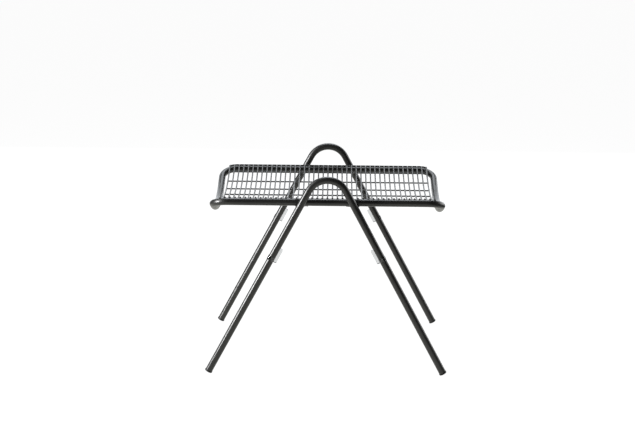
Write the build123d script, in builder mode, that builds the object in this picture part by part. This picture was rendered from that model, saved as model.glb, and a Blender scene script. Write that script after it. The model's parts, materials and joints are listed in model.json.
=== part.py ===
"""Luggage rack: a wire-mesh tray on two hairpin leg frames that fold inwards on collars.

Millimetres. X runs along the rails, Y from front (-) to rear (+), Z up.
The origin is on the floor, under the middle of the tray.
"""

import os
from math import asin, cos, degrees, radians, sin, sqrt, tan

from build123d import *

os.makedirs("parts", exist_ok=True)

# Tube used for the tray and for both leg frames
TUBE_D = 19.0
TUBE_WALL = 1.2
TUBE_R = TUBE_D / 2
BORE_R = TUBE_R - TUBE_WALL

# Tray frame: one loop of tube, with its side rails dipped below the front and rear rails
TRAY_WIDTH = 622.0
TRAY_DEPTH = 425.0
RAIL_Z = 466.0
RAIL_X = (TRAY_WIDTH - TUBE_D) / 2
RAIL_Y = (TRAY_DEPTH - TUBE_D) / 2
CORNER_BEND_R = 42.0
SIDE_SLOPE = 22.0
SIDE_BEND_R = 395.0

# Mesh: wires in a shallow arc between the rails, which end short of the front rail's top and at
# a rim wire on top of the rear rail
MESH_SLOPE = 20.0
MESH_BEND_R = 580.0
WIRE_D = 4.0
WIRE_R = WIRE_D / 2
LONG_WIRE_COUNT = 43
LONG_WIRE_PITCH = 13.4
CROSS_WIRE_COUNT = 7
CROSS_WIRE_PITCH = 57.2
RIM_LEAN = 15.0
WELD_GAP = 0.05

# Leg frames: an upside-down V of tube with a rounded apex
LEG_HALF_ANGLE = 28.1
APEX_Z = 530.0
APEX_BEND_R = 55.0

# Foot caps, cut square to the legs
CAP_D = 20.6
CAP_THICKNESS = 3.6
CAP_EDGE_R = 1.0
PLUG_LENGTH = 18.0
PLUG_LEAD = 1.5

# Collars: C-shaped sleeves welded to the legs, which turn on the rails
COLLAR_CLEARANCE = 0.3
COLLAR_WALL = 1.4
COLLAR_LENGTH = 34.0
COLLAR_START_ANGLE = 118.0
COLLAR_WRAP = 190.0
COLLAR_R = TUBE_R + COLLAR_CLEARANCE
COLLAR_OUTER_R = COLLAR_R + COLLAR_WALL
WEB_WIDTH = 16.0
WEB_HEIGHT = 18.0
WEB_BACK = 6.7
WEB_FRONT = 4.4

# Stop screws: headless, each set in the rail and standing in a slot of its collar
FOLD_ANGLES = {"front": 80.0, "rear": 72.0}
SCREW_ANGLE = 280.0
SCREW_R = 2.0
SCREW_OFFSET = 12.0
SCREW_EDGE = 0.3
SCREW_LENGTH_INSIDE = 4.0
SOCKET_R = 1.1
SOCKET_DEPTH = 1.5
SLOT_CLEARANCE = 0.3

# Leg pads: clear clips on the inner side of the legs
PAD_Z = 332.0
PAD_LENGTH = 40.0
PAD_WIDTH = 9.0
PAD_DEPTH = 7.5
PAD_BACK = 2.0
PAD_END_R = 3.0
CLIP_LENGTH = 11.0
CLIP_WALL = 1.2
CLIP_OPENING = 80.0

# Values that follow from the sizes above
leg_tan = tan(radians(LEG_HALF_ANGLE))
leg_plane_y = RAIL_Y + COLLAR_OUTER_R + TUBE_R
leg_vertex_z = APEX_Z - APEX_BEND_R + APEX_BEND_R / sin(radians(LEG_HALF_ANGLE))
mesh_lift = TUBE_R + WIRE_R
mesh_half_run = RAIL_Y - mesh_lift * tan(radians(MESH_SLOPE / 2))
rim_lift = mesh_lift + WELD_GAP
rim_y = RAIL_Y + rim_lift * sin(radians(RIM_LEAN))
rim_z = RAIL_Z + rim_lift * cos(radians(RIM_LEAN))
rim_out = rim_lift * sin(radians(RIM_LEAN + SIDE_SLOPE))
rim_x = RAIL_X + rim_out
rim_bend_r = CORNER_BEND_R + rim_out
cap_face_z = (CAP_D / 2 - CAP_EDGE_R) * sin(radians(LEG_HALF_ANGLE))
cap_face_z += CAP_EDGE_R * (1 - cos(radians(LEG_HALF_ANGLE)))
tube_end_z = cap_face_z + CAP_THICKNESS * cos(radians(LEG_HALF_ANGLE))
collar_x = -(leg_vertex_z - RAIL_Z) * leg_tan
screw_x = collar_x + SCREW_OFFSET
rail_axis = Axis((0, -RAIL_Y, RAIL_Z), (1, 0, 0))
upright = (Align.CENTER, Align.CENTER, Align.MIN)
hanging = (Align.CENTER, Align.CENTER, Align.MAX)


def leg_x(z):
    """Distance of a leg's centre line from the middle of the rack at height z."""
    return (leg_vertex_z - z) * leg_tan


def leg_plane(z):
    """Plane square to the front-left leg: its Z runs down the leg, its X points inwards."""
    down = Vector(-sin(radians(LEG_HALF_ANGLE)), 0, -cos(radians(LEG_HALF_ANGLE)))
    inward = Vector(cos(radians(LEG_HALF_ANGLE)), 0, -sin(radians(LEG_HALF_ANGLE)))
    return Plane(origin=(-leg_x(z), -leg_plane_y, z), x_dir=inward, z_dir=down)


def rail_plane(x, angle):
    """Plane through the front rail's axis at x: its X runs along the rail, its Y is radial."""
    normal = (0, -sin(radians(angle)), cos(radians(angle)))
    return Plane(origin=(x, -RAIL_Y, RAIL_Z), x_dir=(1, 0, 0), z_dir=normal)


def screw_plane(radius):
    """Plane square to the front-left stop screw at a radius from the rail's axis."""
    radial = (0, cos(radians(SCREW_ANGLE)), sin(radians(SCREW_ANGLE)))
    return Plane(origin=(screw_x, -RAIL_Y, RAIL_Z), x_dir=(1, 0, 0), z_dir=radial).offset(radius)


def dished_points(x, half_run, lift, slope):
    """Corner points of a line that dips between the rails: its middle corner is rounded off."""
    low_z = RAIL_Z + lift - half_run * tan(radians(slope))
    return [(x, -half_run, RAIL_Z + lift), (x, 0, low_z), (x, half_run, RAIL_Z + lift)]


def mesh_height(y):
    """Height of the long wires' centre line at y, on the arc between the rails."""
    low_z = dished_points(0, mesh_half_run, mesh_lift, MESH_SLOPE)[1][2]
    arc_centre_z = low_z + MESH_BEND_R / cos(radians(MESH_SLOPE))
    return arc_centre_z - sqrt(MESH_BEND_R**2 - y**2)


def save(builder, name):
    """Label a finished sub-part and write it to its own file."""
    builder.part.label = name
    export_step(builder.part, f"parts/{name}.step")


def corner_copy(pattern, row, side):
    """A front-left piece, mirrored to the named corner of the rack."""
    shape = pattern
    if row == "rear":
        shape = mirror(shape, about=Plane.XZ, mode=Mode.PRIVATE)
    if side == "right":
        shape = mirror(shape, about=Plane.YZ, mode=Mode.PRIVATE)
    return shape


# Tray frame: a loop of bent tube, made as its left half and mirrored, drilled for the stop screws
side_points = dished_points(-RAIL_X, RAIL_Y, 0, SIDE_SLOPE)
half_loop_points = [(0, -RAIL_Y, RAIL_Z), *side_points, (0, RAIL_Y, RAIL_Z)]

with BuildPart() as tray_frame:
    with BuildLine() as half_loop:
        FilletPolyline(half_loop_points, radius=[CORNER_BEND_R, SIDE_BEND_R, CORNER_BEND_R])
    with BuildSketch(half_loop.line ^ 0):
        Circle(TUBE_R)
        Circle(BORE_R, mode=Mode.SUBTRACT)
    sweep(path=half_loop.wire())
    with Locations(screw_plane(0)):
        screw_hole = Cylinder(SCREW_R, TUBE_R + 1, align=upright, mode=Mode.SUBTRACT)
    mirror(screw_hole, about=Plane.XZ, mode=Mode.SUBTRACT)
    mirror(about=Plane.YZ)
save(tray_frame, "tray_frame")

# Rim wire: along the top of the rear rail and part of the way round its bends
mesh_span = LONG_WIRE_PITCH * (LONG_WIRE_COUNT - 1)
rim_tail = 1.1 * rim_bend_r
tail_y = rim_y - rim_tail * cos(radians(SIDE_SLOPE))
tail_z = rim_z - rim_tail * sin(radians(SIDE_SLOPE))
rim_points = [
    (-rim_x, tail_y, tail_z),
    (-rim_x, rim_y, rim_z),
    (rim_x, rim_y, rim_z),
    (rim_x, tail_y, tail_z),
]

with BuildPart() as mesh_rim_wire:
    with BuildLine() as rim_line:
        FilletPolyline(rim_points, radius=rim_bend_r)
    with BuildSketch(rim_line.line ^ 0):
        Circle(WIRE_R)
    sweep(path=rim_line.wire())
    Box(mesh_span + WIRE_D, 2 * TRAY_DEPTH, 4 * RAIL_Z, mode=Mode.INTERSECT)
save(mesh_rim_wire, "mesh_rim_wire")

# Mesh wires: one dished wire repeated across the tray, and straight wires welded under it
wire_points = [
    (0, -TRAY_DEPTH / 2, RAIL_Z + mesh_lift),
    *dished_points(0, mesh_half_run, mesh_lift, MESH_SLOPE),
    (0, TRAY_DEPTH / 2, RAIL_Z + mesh_lift),
]

with BuildPart() as long_wire:
    with BuildLine() as wire_line:
        FilletPolyline(wire_points, radius=[mesh_lift, MESH_BEND_R, mesh_lift])
    with BuildSketch(wire_line.line ^ 0):
        Circle(WIRE_R)
    sweep(path=wire_line.wire())


def make_long_wires(pitch, count):
    """Long wires side by side, cut off at the front rail and where they meet the rim wire."""
    cut_back = WIRE_R + WELD_GAP
    rear_y = rim_y - cut_back
    front_y = RAIL_Y - mesh_lift * sin(radians(MESH_SLOPE))
    with BuildPart() as wires:
        with GridLocations(pitch, 0, count, 1):
            add(long_wire.part)
        with BuildSketch(Plane((0, (rear_y - front_y) / 2, 0))):
            RectangleRounded(2 * (rim_x - cut_back), rear_y + front_y, rim_bend_r - cut_back)
        extrude(amount=2 * RAIL_Z, mode=Mode.INTERSECT)
    return wires


save(make_long_wires(LONG_WIRE_PITCH, LONG_WIRE_COUNT - 2), "mesh_long_wires")
save(make_long_wires(mesh_span, 2), "mesh_edge_wires")

with BuildPart() as mesh_cross_wires:
    last_row = (CROSS_WIRE_COUNT - 1) // 2
    for row in range(-last_row, last_row + 1):
        y = row * CROSS_WIRE_PITCH
        slope = asin(y / MESH_BEND_R)
        below = WIRE_D + WELD_GAP
        with Locations((0, y + below * sin(slope), mesh_height(y) - below * cos(slope))):
            Cylinder(WIRE_R, mesh_span + WIRE_D, rotation=(0, 90, 0))
save(mesh_cross_wires, "mesh_cross_wires")

# Leg frames: one hairpin of tube in front of the tray and its mirror image behind it
with BuildPart() as front_leg_tube:
    with BuildLine(Plane.XZ.offset(leg_plane_y)) as hairpin:
        foot_x = leg_x(tube_end_z)
        hairpin_points = [(-foot_x, tube_end_z), (0, leg_vertex_z), (foot_x, tube_end_z)]
        FilletPolyline(hairpin_points, radius=APEX_BEND_R)
    with BuildSketch(hairpin.line ^ 0):
        Circle(TUBE_R)
        Circle(BORE_R, mode=Mode.SUBTRACT)
    sweep(path=hairpin.wire())
save(front_leg_tube, "front_leg_tube")

with BuildPart() as rear_leg_tube:
    mirror(front_leg_tube.part, about=Plane.XZ)
save(rear_leg_tube, "rear_leg_tube")

# Foot cap: a flange over the end of the tube, and a plug inside it
with BuildPart() as foot_cap:
    with Locations(leg_plane(tube_end_z)):
        Cylinder(CAP_D / 2, CAP_THICKNESS, align=upright)
        Cylinder(BORE_R, PLUG_LENGTH, align=hanging)
    rims = foot_cap.edges().filter_by(GeomType.CIRCLE).sort_by(Axis.Z)
    fillet(rims[0], CAP_EDGE_R)
    rims = foot_cap.edges().filter_by(GeomType.CIRCLE).sort_by(Axis.Z)
    chamfer(rims[-1], PLUG_LEAD)

# Leg pad: a rounded strip on the inner side of the leg, with a clip round the tube at its lower end
with BuildPart() as leg_pad:
    with Locations(leg_plane(PAD_Z)):
        with Locations((TUBE_R - PAD_BACK, 0, 0)):
            strip_align = (Align.MIN, Align.CENTER, Align.CENTER)
            Box(PAD_BACK + PAD_DEPTH, PAD_WIDTH, PAD_LENGTH, align=strip_align)
    inward = Axis((0, 0, 0), leg_plane(PAD_Z).x_dir)
    fillet(leg_pad.edges().filter_by(Axis.Y).sort_by(inward)[-2:], PAD_END_R)
    with Locations(leg_plane(PAD_Z).offset(PAD_LENGTH / 2)):
        Cylinder(TUBE_R + CLIP_WALL, CLIP_LENGTH, align=hanging)
    with Locations(leg_plane(PAD_Z)):
        Cylinder(TUBE_R, 2 * PAD_LENGTH, mode=Mode.SUBTRACT)
        with Locations((0, -TUBE_R, 0)):
            Box(CLIP_OPENING, TUBE_R, 2 * PAD_LENGTH, mode=Mode.SUBTRACT)


def make_collar(fold_angle):
    """A front-left collar with its weld web and a slot for the stated fold."""
    wall_middle = (COLLAR_R + COLLAR_OUTER_R) / 2
    slot_end = degrees((SCREW_R + SLOT_CLEARANCE) / COLLAR_R)
    web_half = WEB_WIDTH / 2 / cos(radians(LEG_HALF_ANGLE))
    web_top, web_bottom = RAIL_Z + WEB_HEIGHT / 2, RAIL_Z - WEB_HEIGHT / 2
    web_points = [
        (-leg_x(web_top) - web_half, web_top),
        (-leg_x(web_top) + web_half, web_top),
        (-leg_x(web_bottom) + web_half, web_bottom),
        (-leg_x(web_bottom) - web_half, web_bottom),
    ]
    with BuildPart() as collar:
        with BuildSketch(rail_plane(collar_x, COLLAR_START_ANGLE)):
            with Locations((0, wall_middle)):
                Rectangle(COLLAR_LENGTH, COLLAR_WALL)
        revolve(axis=rail_axis, revolution_arc=COLLAR_WRAP)
        with BuildSketch(rail_plane(screw_x, SCREW_ANGLE - fold_angle - slot_end)):
            with Locations((0, wall_middle)):
                Rectangle(2 * (SCREW_R + SLOT_CLEARANCE), 2 * COLLAR_WALL)
        revolve(axis=rail_axis, revolution_arc=fold_angle + 2 * slot_end, mode=Mode.SUBTRACT)
        with BuildSketch(Plane.XZ.offset(RAIL_Y + WEB_BACK)):
            with BuildLine():
                Polyline(*web_points, close=True)
            make_face()
        extrude(amount=COLLAR_OUTER_R + WEB_FRONT - WEB_BACK)
        with Locations(leg_plane(RAIL_Z)):
            Cylinder(TUBE_R, 3 * COLLAR_LENGTH, mode=Mode.SUBTRACT)
        with Locations((collar_x, -RAIL_Y, RAIL_Z)):
            Cylinder(COLLAR_R, 2 * COLLAR_LENGTH, rotation=(0, 90, 0), mode=Mode.SUBTRACT)
    return collar.part


collars = {row: make_collar(fold_angle) for row, fold_angle in FOLD_ANGLES.items()}
for row in ("front", "rear"):
    for side in ("left", "right"):
        pieces = {"foot_cap": foot_cap.part, "leg_pad": leg_pad.part, "collar": collars[row]}
        for piece, pattern in pieces.items():
            with BuildPart() as corner_piece:
                add(corner_copy(pattern, row, side))
            save(corner_piece, f"{row}_{side}_{piece}")

# Stop screws: threaded through the rail's wall, with an end that stands in the collar's slot
with BuildPart() as stop_screw:
    with Locations(screw_plane(COLLAR_OUTER_R)):
        Cylinder(SCREW_R, COLLAR_OUTER_R - BORE_R + SCREW_LENGTH_INSIDE, align=hanging)
    chamfer(stop_screw.edges().filter_by(GeomType.CIRCLE), SCREW_EDGE)
    with BuildSketch(screw_plane(COLLAR_OUTER_R)):
        RegularPolygon(SOCKET_R, 6)
    extrude(amount=-SOCKET_DEPTH, mode=Mode.SUBTRACT)

with BuildPart() as stop_screws:
    for row in ("front", "rear"):
        for side in ("left", "right"):
            add(corner_copy(stop_screw.part, row, side))
save(stop_screws, "stop_screws")
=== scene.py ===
"""Luggage rack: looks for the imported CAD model, in metres and in its frame."""

import json
import math

import bmesh
import bpy
from mathutils import Matrix, Vector, noise


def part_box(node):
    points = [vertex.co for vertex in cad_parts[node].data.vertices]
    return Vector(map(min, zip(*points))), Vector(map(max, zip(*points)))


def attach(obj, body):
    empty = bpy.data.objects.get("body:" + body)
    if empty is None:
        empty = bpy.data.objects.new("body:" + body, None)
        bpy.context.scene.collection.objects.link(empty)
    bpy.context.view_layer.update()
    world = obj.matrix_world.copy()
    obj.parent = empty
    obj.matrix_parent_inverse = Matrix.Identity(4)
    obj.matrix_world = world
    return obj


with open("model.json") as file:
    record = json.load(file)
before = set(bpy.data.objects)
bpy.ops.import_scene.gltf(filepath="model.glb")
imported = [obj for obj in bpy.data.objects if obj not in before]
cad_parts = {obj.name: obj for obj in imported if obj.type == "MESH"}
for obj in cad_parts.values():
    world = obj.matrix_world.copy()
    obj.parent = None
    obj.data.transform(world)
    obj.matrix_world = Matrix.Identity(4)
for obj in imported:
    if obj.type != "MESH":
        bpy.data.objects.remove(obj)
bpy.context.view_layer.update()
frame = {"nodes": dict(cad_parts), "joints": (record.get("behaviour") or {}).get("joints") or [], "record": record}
nodes = frame["nodes"]

# The sense of Y in which each row of legs lies, and the sense of X in which each leg's top leans
ENDS = {"front": -1, "rear": 1}
LEANS = {"left": 1, "right": -1}

# Sizes that the CAD model states
TUBE_R = 0.0095
WIRE_R = 0.002
COLLAR_OUTER_R = 0.0112
WEB_HALF = 0.008
WEB_HEIGHT = 0.018
LEG_HALF_ANGLE = math.radians(28.1)
CORNER_BEND_R = 0.042
SIDE_SLOPE = math.radians(22)
LONG_WIRE_PITCH = 0.0134
CROSS_WIRE_PITCH = 0.0572
MESH_BEND_R = 0.58
WELD_GAP = 0.00005

# Sizes of the details that are added here: half lengths of each lump of weld, radii of the beads
RAIL_WELD = (0.0042, 0.0031, 0.0014)
RAIL_WELD_LIFT = 0.0008
RAIL_WELD_LEAN = {"front": math.radians(20), "rear": math.radians(-5)}
SPOT_WELD = (0.0027, 0.0027, 0.0010)
WIRE_DOME = 0.001
LEG_BEAD_R = 0.0013
COLLAR_BEAD_R = 0.0011

rail_z = frame["joints"][0]["pos_m"][2]
rail_y = abs(frame["joints"][0]["pos_m"][1])
rail_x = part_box("tray_frame")[1].x - TUBE_R
leg_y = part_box("rear_leg_tube")[1].y - TUBE_R
collar_x = {}
for side in LEANS:
    low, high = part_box(f"front_{side}_collar")
    collar_x[side] = (low.x + high.x) / 2
edge_wire_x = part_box("mesh_edge_wires")[1].x - WIRE_R
wire_count = round(2 * edge_wire_x / LONG_WIRE_PITCH) + 1
wire_xs = [-edge_wire_x + i * LONG_WIRE_PITCH for i in range(wire_count)]
cross_low, cross_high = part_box("mesh_cross_wires")
row_count = round((cross_high.y - cross_low.y) / CROSS_WIRE_PITCH) + 1
row_ys = [(i - (row_count - 1) / 2) * CROSS_WIRE_PITCH for i in range(row_count)]
mesh_low_z = cross_low.z + 3 * WIRE_R + WELD_GAP


def mesh_height(y):
    """Height of the long wires' centre line at y."""
    return mesh_low_z + MESH_BEND_R - math.sqrt(MESH_BEND_R**2 - y**2)


# Materials ---------------------------------------------------------------


class Shader:
    """A Principled material whose colour, roughness and bump come from object-space noise."""

    def __init__(self, name, **constants):
        self.material = bpy.data.materials.new(name)
        self.material.use_nodes = True
        self.tree = self.material.node_tree
        self.bsdf = self.tree.nodes["Principled BSDF"]
        self.coords = self.tree.nodes.new("ShaderNodeTexCoord").outputs["Object"]
        for socket, value in constants.items():
            self.bsdf.inputs[socket.replace("_", " ")].default_value = value

    def noise(self, scale, detail=2.0, roughness=0.5):
        node = self.tree.nodes.new("ShaderNodeTexNoise")
        node.inputs["Scale"].default_value = scale
        node.inputs["Detail"].default_value = detail
        node.inputs["Roughness"].default_value = roughness
        self.tree.links.new(self.coords, node.inputs["Vector"])
        return node.outputs["Fac"]

    def spread(self, factor, low, high):
        """Maps the middle of a noise's range to low..high."""
        node = self.tree.nodes.new("ShaderNodeMapRange")
        node.inputs["From Min"].default_value = 0.3
        node.inputs["From Max"].default_value = 0.7
        node.inputs["To Min"].default_value = low
        node.inputs["To Max"].default_value = high
        self.tree.links.new(factor, node.inputs["Value"])
        return node.outputs["Result"]

    def ramp(self, factor, dark, light):
        """Blends two colours over the middle of a noise's range."""
        node = self.tree.nodes.new("ShaderNodeValToRGB")
        for element, position, colour in zip(node.color_ramp.elements, (0.3, 0.7), (dark, light)):
            element.position = position
            element.color = (*colour, 1)
        self.tree.links.new(factor, node.inputs["Fac"])
        return node.outputs["Color"]

    def feed(self, socket, output):
        self.tree.links.new(output, self.bsdf.inputs[socket])

    def bump(self, height, distance, strength=1.0, below=None):
        node = self.tree.nodes.new("ShaderNodeBump")
        node.inputs["Strength"].default_value = strength
        node.inputs["Distance"].default_value = distance
        self.tree.links.new(height, node.inputs["Height"])
        if below is not None:
            self.tree.links.new(below, node.inputs["Normal"])
        return node.outputs["Normal"]


def powder_coat(name, dark, light, roughness):
    """Satin powder coat: orange peel, fine grain and slow changes of tone."""
    coat = Shader(name, Metallic=0.0, IOR=1.48)
    tone = coat.noise(22, detail=5, roughness=0.6)
    coat.feed("Base Color", coat.ramp(tone, dark, light))
    gloss = coat.noise(60, detail=4)
    coat.feed("Roughness", coat.spread(gloss, roughness - 0.04, roughness + 0.05))
    peel = coat.bump(coat.noise(620, detail=1), 0.000022, 0.5)
    coat.feed("Normal", coat.bump(coat.noise(2600, detail=2), 0.000004, 0.5, below=peel))
    return coat.material


frame_coat = powder_coat("frame_coat", (0.007, 0.007, 0.007), (0.011, 0.011, 0.010), 0.32)
mesh_coat = powder_coat("mesh_coat", (0.016, 0.016, 0.016), (0.024, 0.024, 0.023), 0.28)

cap = Shader("cap_plastic", IOR=1.46, Specular_IOR_Level=0.25)
cap.feed("Base Color", cap.ramp(cap.noise(90, 4), (0.003,) * 3, (0.006,) * 3))
cap.feed("Roughness", cap.spread(cap.noise(240, 3), 0.46, 0.62))
cap.feed("Normal", cap.bump(cap.noise(1900, 2), 0.00004, 0.6))

pad = Shader("pad_plastic", IOR=1.49, Transmission_Weight=1.0)
pad.feed("Base Color", pad.ramp(pad.noise(70, 3), (0.58, 0.595, 0.595), (0.64,) * 3))
pad.feed("Roughness", pad.spread(pad.noise(160, 3), 0.03, 0.09))
pad.feed("Normal", pad.bump(pad.noise(420, 2), 0.00004, 0.4))

screw = Shader("screw_steel", Metallic=1.0)
screw.feed("Base Color", screw.ramp(screw.noise(500, 4), (0.07,) * 3, (0.14,) * 3))
screw.feed("Roughness", screw.spread(screw.noise(900, 3), 0.28, 0.44))
screw.feed("Normal", screw.bump(screw.noise(3000, 2), 0.00002, 0.5))

coats = {
    "frame_coat": frame_coat,
    "mesh_coat": mesh_coat,
    "cap_plastic": cap.material,
    "pad_plastic": pad.material,
    "screw_steel": screw.material,
}
for subpart in frame["record"]["subparts"]:
    materials = nodes[subpart["node"]].data.materials
    materials.clear()
    materials.append(coats[subpart["material_slot"]])


# Small welded and formed details ------------------------------------------


def add_piece(name, mesh_data, body, slot):
    """Links a finished bmesh as a smooth piece that rides on a body."""
    mesh = bpy.data.meshes.new(name)
    bmesh.ops.recalc_face_normals(mesh_data, faces=mesh_data.faces)
    mesh_data.to_mesh(mesh)
    mesh_data.free()
    mesh.polygons.foreach_set("use_smooth", [True] * len(mesh.polygons))
    mesh.materials.append(coats[slot])
    piece = bpy.data.objects.new(name, mesh)
    bpy.context.scene.collection.objects.link(piece)
    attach(piece, body)


def add_nugget(mesh_data, centre, along, normal, sizes, seed, rings=6, segments=12):
    """A lump of weld metal: an uneven lens on a surface, long way along the stated direction."""
    along = along.normalized()
    side = normal.cross(along).normalized()
    up = along.cross(side)
    axes = Matrix((along, side, up)).transposed()
    made = bmesh.ops.create_uvsphere(mesh_data, u_segments=segments, v_segments=rings, radius=1.0)
    for vertex in made["verts"]:
        swell = 1 + 0.16 * noise.noise(vertex.co * 1.7 + Vector((seed * 3.1, 0, 0)))
        shape = Vector(a * b for a, b in zip(vertex.co, sizes)) * swell
        vertex.co = centre + axes @ shape


def rail_centre(x, end):
    """Point of a rail's centre line at x, bends included; end is -1 at the front and 1 at the rear."""
    past_bend = max(0.0, abs(x) - (rail_x - CORNER_BEND_R))
    down_slope = CORNER_BEND_R - math.sqrt(CORNER_BEND_R**2 - past_bend**2)
    y = rail_y - down_slope * math.cos(SIDE_SLOPE)
    return Vector((x, end * y, rail_z - down_slope * math.sin(SIDE_SLOPE)))


rail_welds = bmesh.new()
for number, x in enumerate(wire_xs):
    for row, end in ENDS.items():
        lean = RAIL_WELD_LEAN[row]
        outward = Vector((0, math.sin(lean), math.cos(lean)))
        along = Vector((0, math.cos(lean), -math.sin(lean)))
        spot = rail_centre(x, end) + outward * (TUBE_R + RAIL_WELD_LIFT)
        add_nugget(rail_welds, spot, along, outward, RAIL_WELD, number + 100 * end)
add_piece("mesh_rail_welds", rail_welds, "tray", "mesh_coat")

spot_welds = bmesh.new()
for number, x in enumerate(wire_xs):
    for row, y in enumerate(row_ys):
        slope = math.asin(y / MESH_BEND_R)
        normal = Vector((0, -math.sin(slope), math.cos(slope)))
        spot = Vector((x, y, mesh_height(y))) - normal * WIRE_R
        seed = number * 9 + row
        add_nugget(spot_welds, spot, Vector((1, 0, 0)), normal, SPOT_WELD, seed, rings=4, segments=10)
add_piece("mesh_spot_welds", spot_welds, "tray", "mesh_coat")


def end_loops(node, direction):
    """Rings of points round the ends of a node's wires that face along an axis, each with its way out."""
    source = bmesh.new()
    source.from_mesh(nodes[node].data)
    bmesh.ops.remove_doubles(source, verts=source.verts, dist=1e-6)
    axis = Vector(direction)
    caps = {face for face in source.faces if abs(face.normal.dot(axis)) > 0.6}
    rims = {e: None for e in source.edges if sum(f in caps for f in e.link_faces) == 1}
    loops = []
    while rims:
        edge = rims.popitem()[0]
        ring = [edge.verts[0]]
        outward = Vector()
        while edge is not None:
            ring.append(edge.other_vert(ring[-1]))
            face = next(f for f in edge.link_faces if f in caps)
            outward += face.normal * face.calc_area()
            edge = next((e for e in ring[-1].link_edges if e in rims), None)
            rims.pop(edge, None)
        loops.append(([v.co.copy() for v in ring[:-1]], outward.normalized()))
    source.free()
    return loops


def add_dome(mesh_data, ring, outward, height, levels=4):
    """A rounded end over a ring of points."""
    middle = sum(ring, Vector()) / len(ring)
    rows = []
    for level in range(levels):
        turn = math.pi / 2 * level / levels
        rise = outward * height * math.sin(turn)
        rows.append([mesh_data.verts.new(middle + (p - middle) * math.cos(turn) + rise) for p in ring])
    tip = mesh_data.verts.new(middle + outward * height)
    count = len(ring)
    for lower, upper in zip(rows, rows[1:]):
        for i in range(count):
            j = (i + 1) % count
            mesh_data.faces.new((lower[i], lower[j], upper[j], upper[i]))
    for i in range(count):
        mesh_data.faces.new((rows[-1][i], rows[-1][(i + 1) % count], tip))


# The rear ends of the long wires stand against the rim wire, so they stay flat
wire_directions = {
    "mesh_long_wires": (0, 1, 0),
    "mesh_edge_wires": (0, 1, 0),
    "mesh_cross_wires": (1, 0, 0),
    "mesh_rim_wire": (1, 0, 0),
}
wire_ends = bmesh.new()
for node, direction in wire_directions.items():
    for ring, outward in end_loops(node, direction):
        if outward.y < 0.6:
            add_dome(wire_ends, ring, outward, WIRE_DOME)
add_piece("mesh_wire_ends", wire_ends, "tray", "mesh_coat")


def add_bead(mesh_data, path, radius, ripple=0.3, segments=8):
    """A rippled weld bead along a closed path of points."""
    rings = []
    for i, point in enumerate(path):
        along = (path[(i + 1) % len(path)] - path[i - 1]).normalized()
        side = along.orthogonal().normalized()
        up = along.cross(side)
        size = radius * (1 + ripple * abs(math.sin(i * math.pi / 4)) - ripple / 2)
        ring = []
        for k in range(segments):
            turn = 2 * math.pi * k / segments
            ring.append(mesh_data.verts.new(point + (side * math.cos(turn) + up * math.sin(turn)) * size))
        rings.append(ring)
    for lower, upper in zip(rings, rings[1:] + rings[:1]):
        offset = min(range(segments), key=lambda s: (lower[0].co - upper[s].co).length)
        for k in range(segments):
            a, b = upper[(k + offset) % segments], upper[(k + 1 + offset) % segments]
            mesh_data.faces.new((lower[k], lower[(k + 1) % segments], b, a))


def web_outline(steps=14):
    """Points round a collar's web: place across it, from -1 to 1, and height over its middle."""
    corners = [Vector((-1, -1)), Vector((1, -1)), Vector((1, 1)), Vector((-1, 1))]
    points = []
    for here, there in zip(corners, corners[1:] + corners[:1]):
        for i in range(steps):
            across, up = here.lerp(there, i / steps)
            points.append((across, up * WEB_HEIGHT / 2))
    return points


def add_leg_welds(row, end):
    """Beads between the legs of one frame and the webs of its collars."""
    beads = bmesh.new()
    web_half = WEB_HALF / math.cos(LEG_HALF_ANGLE)
    for side, lean in LEANS.items():
        on_leg, on_collar = [], []
        for across, up in web_outline():
            x = collar_x[side] + up * lean * math.tan(LEG_HALF_ANGLE) + across * web_half
            depth = math.sqrt(max(0.0, TUBE_R**2 - (across * WEB_HALF) ** 2))
            on_leg.append(Vector((x, end * (leg_y - depth), rail_z + up)))
            reach = math.sqrt(COLLAR_OUTER_R**2 - up**2)
            on_collar.append(Vector((x, end * (rail_y + reach), rail_z + up)))
        add_bead(beads, on_leg, LEG_BEAD_R)
        add_bead(beads, on_collar, COLLAR_BEAD_R)
    add_piece(f"{row}_leg_welds", beads, f"{row}_legs", "frame_coat")


for row, end in ENDS.items():
    add_leg_welds(row, end)


# Floor, light and camera ---------------------------------------------------

scene = bpy.context.scene
scene.view_settings.view_transform = "Standard"

floor_material = bpy.data.materials.new("floor_white")
floor_material.use_nodes = True
floor_shader = floor_material.node_tree.nodes["Principled BSDF"]
floor_shader.inputs["Base Color"].default_value = (0.03, 0.03, 0.03, 1)
floor_shader.inputs["Roughness"].default_value = 0.95
floor_shader.inputs["Emission Color"].default_value = (1, 1, 1, 1)
floor_shader.inputs["Emission Strength"].default_value = 0.96

FLOOR_HALF_SIZE = 12
FLOOR_Z = -0.002
floor_mesh = bmesh.new()
bmesh.ops.create_grid(floor_mesh, x_segments=8, y_segments=8, size=FLOOR_HALF_SIZE)
floor_data = bpy.data.meshes.new("floor")
floor_mesh.to_mesh(floor_data)
floor_mesh.free()
floor = bpy.data.objects.new("floor", floor_data)
floor.location.z = FLOOR_Z
floor.visible_glossy = False
floor.data.materials.append(floor_material)
scene.collection.objects.link(floor)

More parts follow.
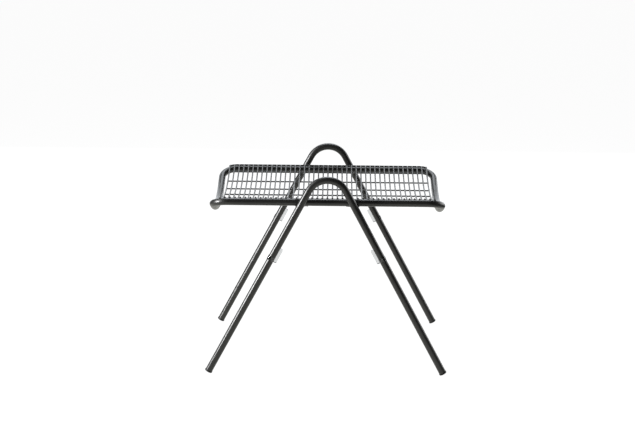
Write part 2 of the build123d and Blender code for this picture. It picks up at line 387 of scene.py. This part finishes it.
# The studio: a dim room that shows plain white to the eye, and soft lights round the rack
world = bpy.data.worlds.new("studio")
scene.world = world
world.use_nodes = True
sky = world.node_tree
seen = sky.nodes["Background"]
seen.inputs["Color"].default_value = (1, 1, 1, 1)
seen.inputs["Strength"].default_value = 1.0
room = sky.nodes.new("ShaderNodeBackground")
room.inputs["Color"].default_value = (1, 1, 1, 1)
room.inputs["Strength"].default_value = 0.08
ray = sky.nodes.new("ShaderNodeLightPath")
choose = sky.nodes.new("ShaderNodeMixShader")
sky.links.new(ray.outputs["Is Camera Ray"], choose.inputs["Fac"])
sky.links.new(room.outputs["Background"], choose.inputs[1])
sky.links.new(seen.outputs["Background"], choose.inputs[2])
sky.links.new(choose.outputs["Shader"], sky.nodes["World Output"].inputs["Surface"])


LAMP_AIM_Z = 0.3


def softbox(name, azimuth, elevation, distance, size, radiance, colour=(1, 1, 1)):
    """An even light aimed at the middle of the rack; azimuth 0 is behind it and 90 is to its right."""
    light = bpy.data.lights.new(name, "AREA")
    light.shape = "RECTANGLE"
    light.size, light.size_y = size
    light.energy = radiance * math.pi * size[0] * size[1]
    light.color = colour
    lamp = bpy.data.objects.new(name, light)
    a, e = math.radians(azimuth), math.radians(elevation)
    toward = Vector((math.sin(a) * math.cos(e), math.cos(a) * math.cos(e), math.sin(e)))
    lamp.location = Vector((0, 0, LAMP_AIM_Z)) + toward * distance
    lamp.rotation_euler = (-toward).to_track_quat("-Z", "Y").to_euler()
    lamp.visible_camera = False
    lamp.visible_transmission = False
    scene.collection.objects.link(lamp)
    return lamp


softbox("strip_left", 250, 13, 2.4, (0.2, 0.9), 190)
softbox("fill_left", 262, 40, 2.4, (1.0, 1.0), 6)
softbox("box_right", 62, 14, 2.6, (2.2, 1.5), 3.2)
softbox("backdrop", 0, 17, 2.6, (3.9, 2.1), 2.0, (0.92, 0.96, 1))
softbox("overhead", 0, 62, 2.6, (1.8, 1.6), 5, (0.92, 0.96, 1))
# Light off the floor: a lamp just over it, facing up
bounce = softbox("floor_bounce", 180, 0, 0, (1.9, 4.2), 0.85, (1, 1, 0.93))
bounce.location = (-0.2, 0.2, FLOOR_Z + 0.0005)
bounce.rotation_euler = (math.pi, 0, 0)

# The camera stands in front of the rack and looks down a little
camera_place = Vector((0.0129, -4.0139, 1.3774))
camera_turns = ((0.575, "Z"), (90 - 13.816, "X"), (0.458, "Z"))
camera_data = bpy.data.cameras.new("camera")
camera_data.sensor_width = 36
camera_data.lens = 85.04
camera_data.clip_end = 60
camera = bpy.data.objects.new("camera", camera_data)
placing = Matrix.Translation(camera_place)
for degrees, axis in camera_turns:
    placing @= Matrix.Rotation(math.radians(degrees), 4, axis)
camera.matrix_world = placing
scene.collection.objects.link(camera)
scene.camera = camera
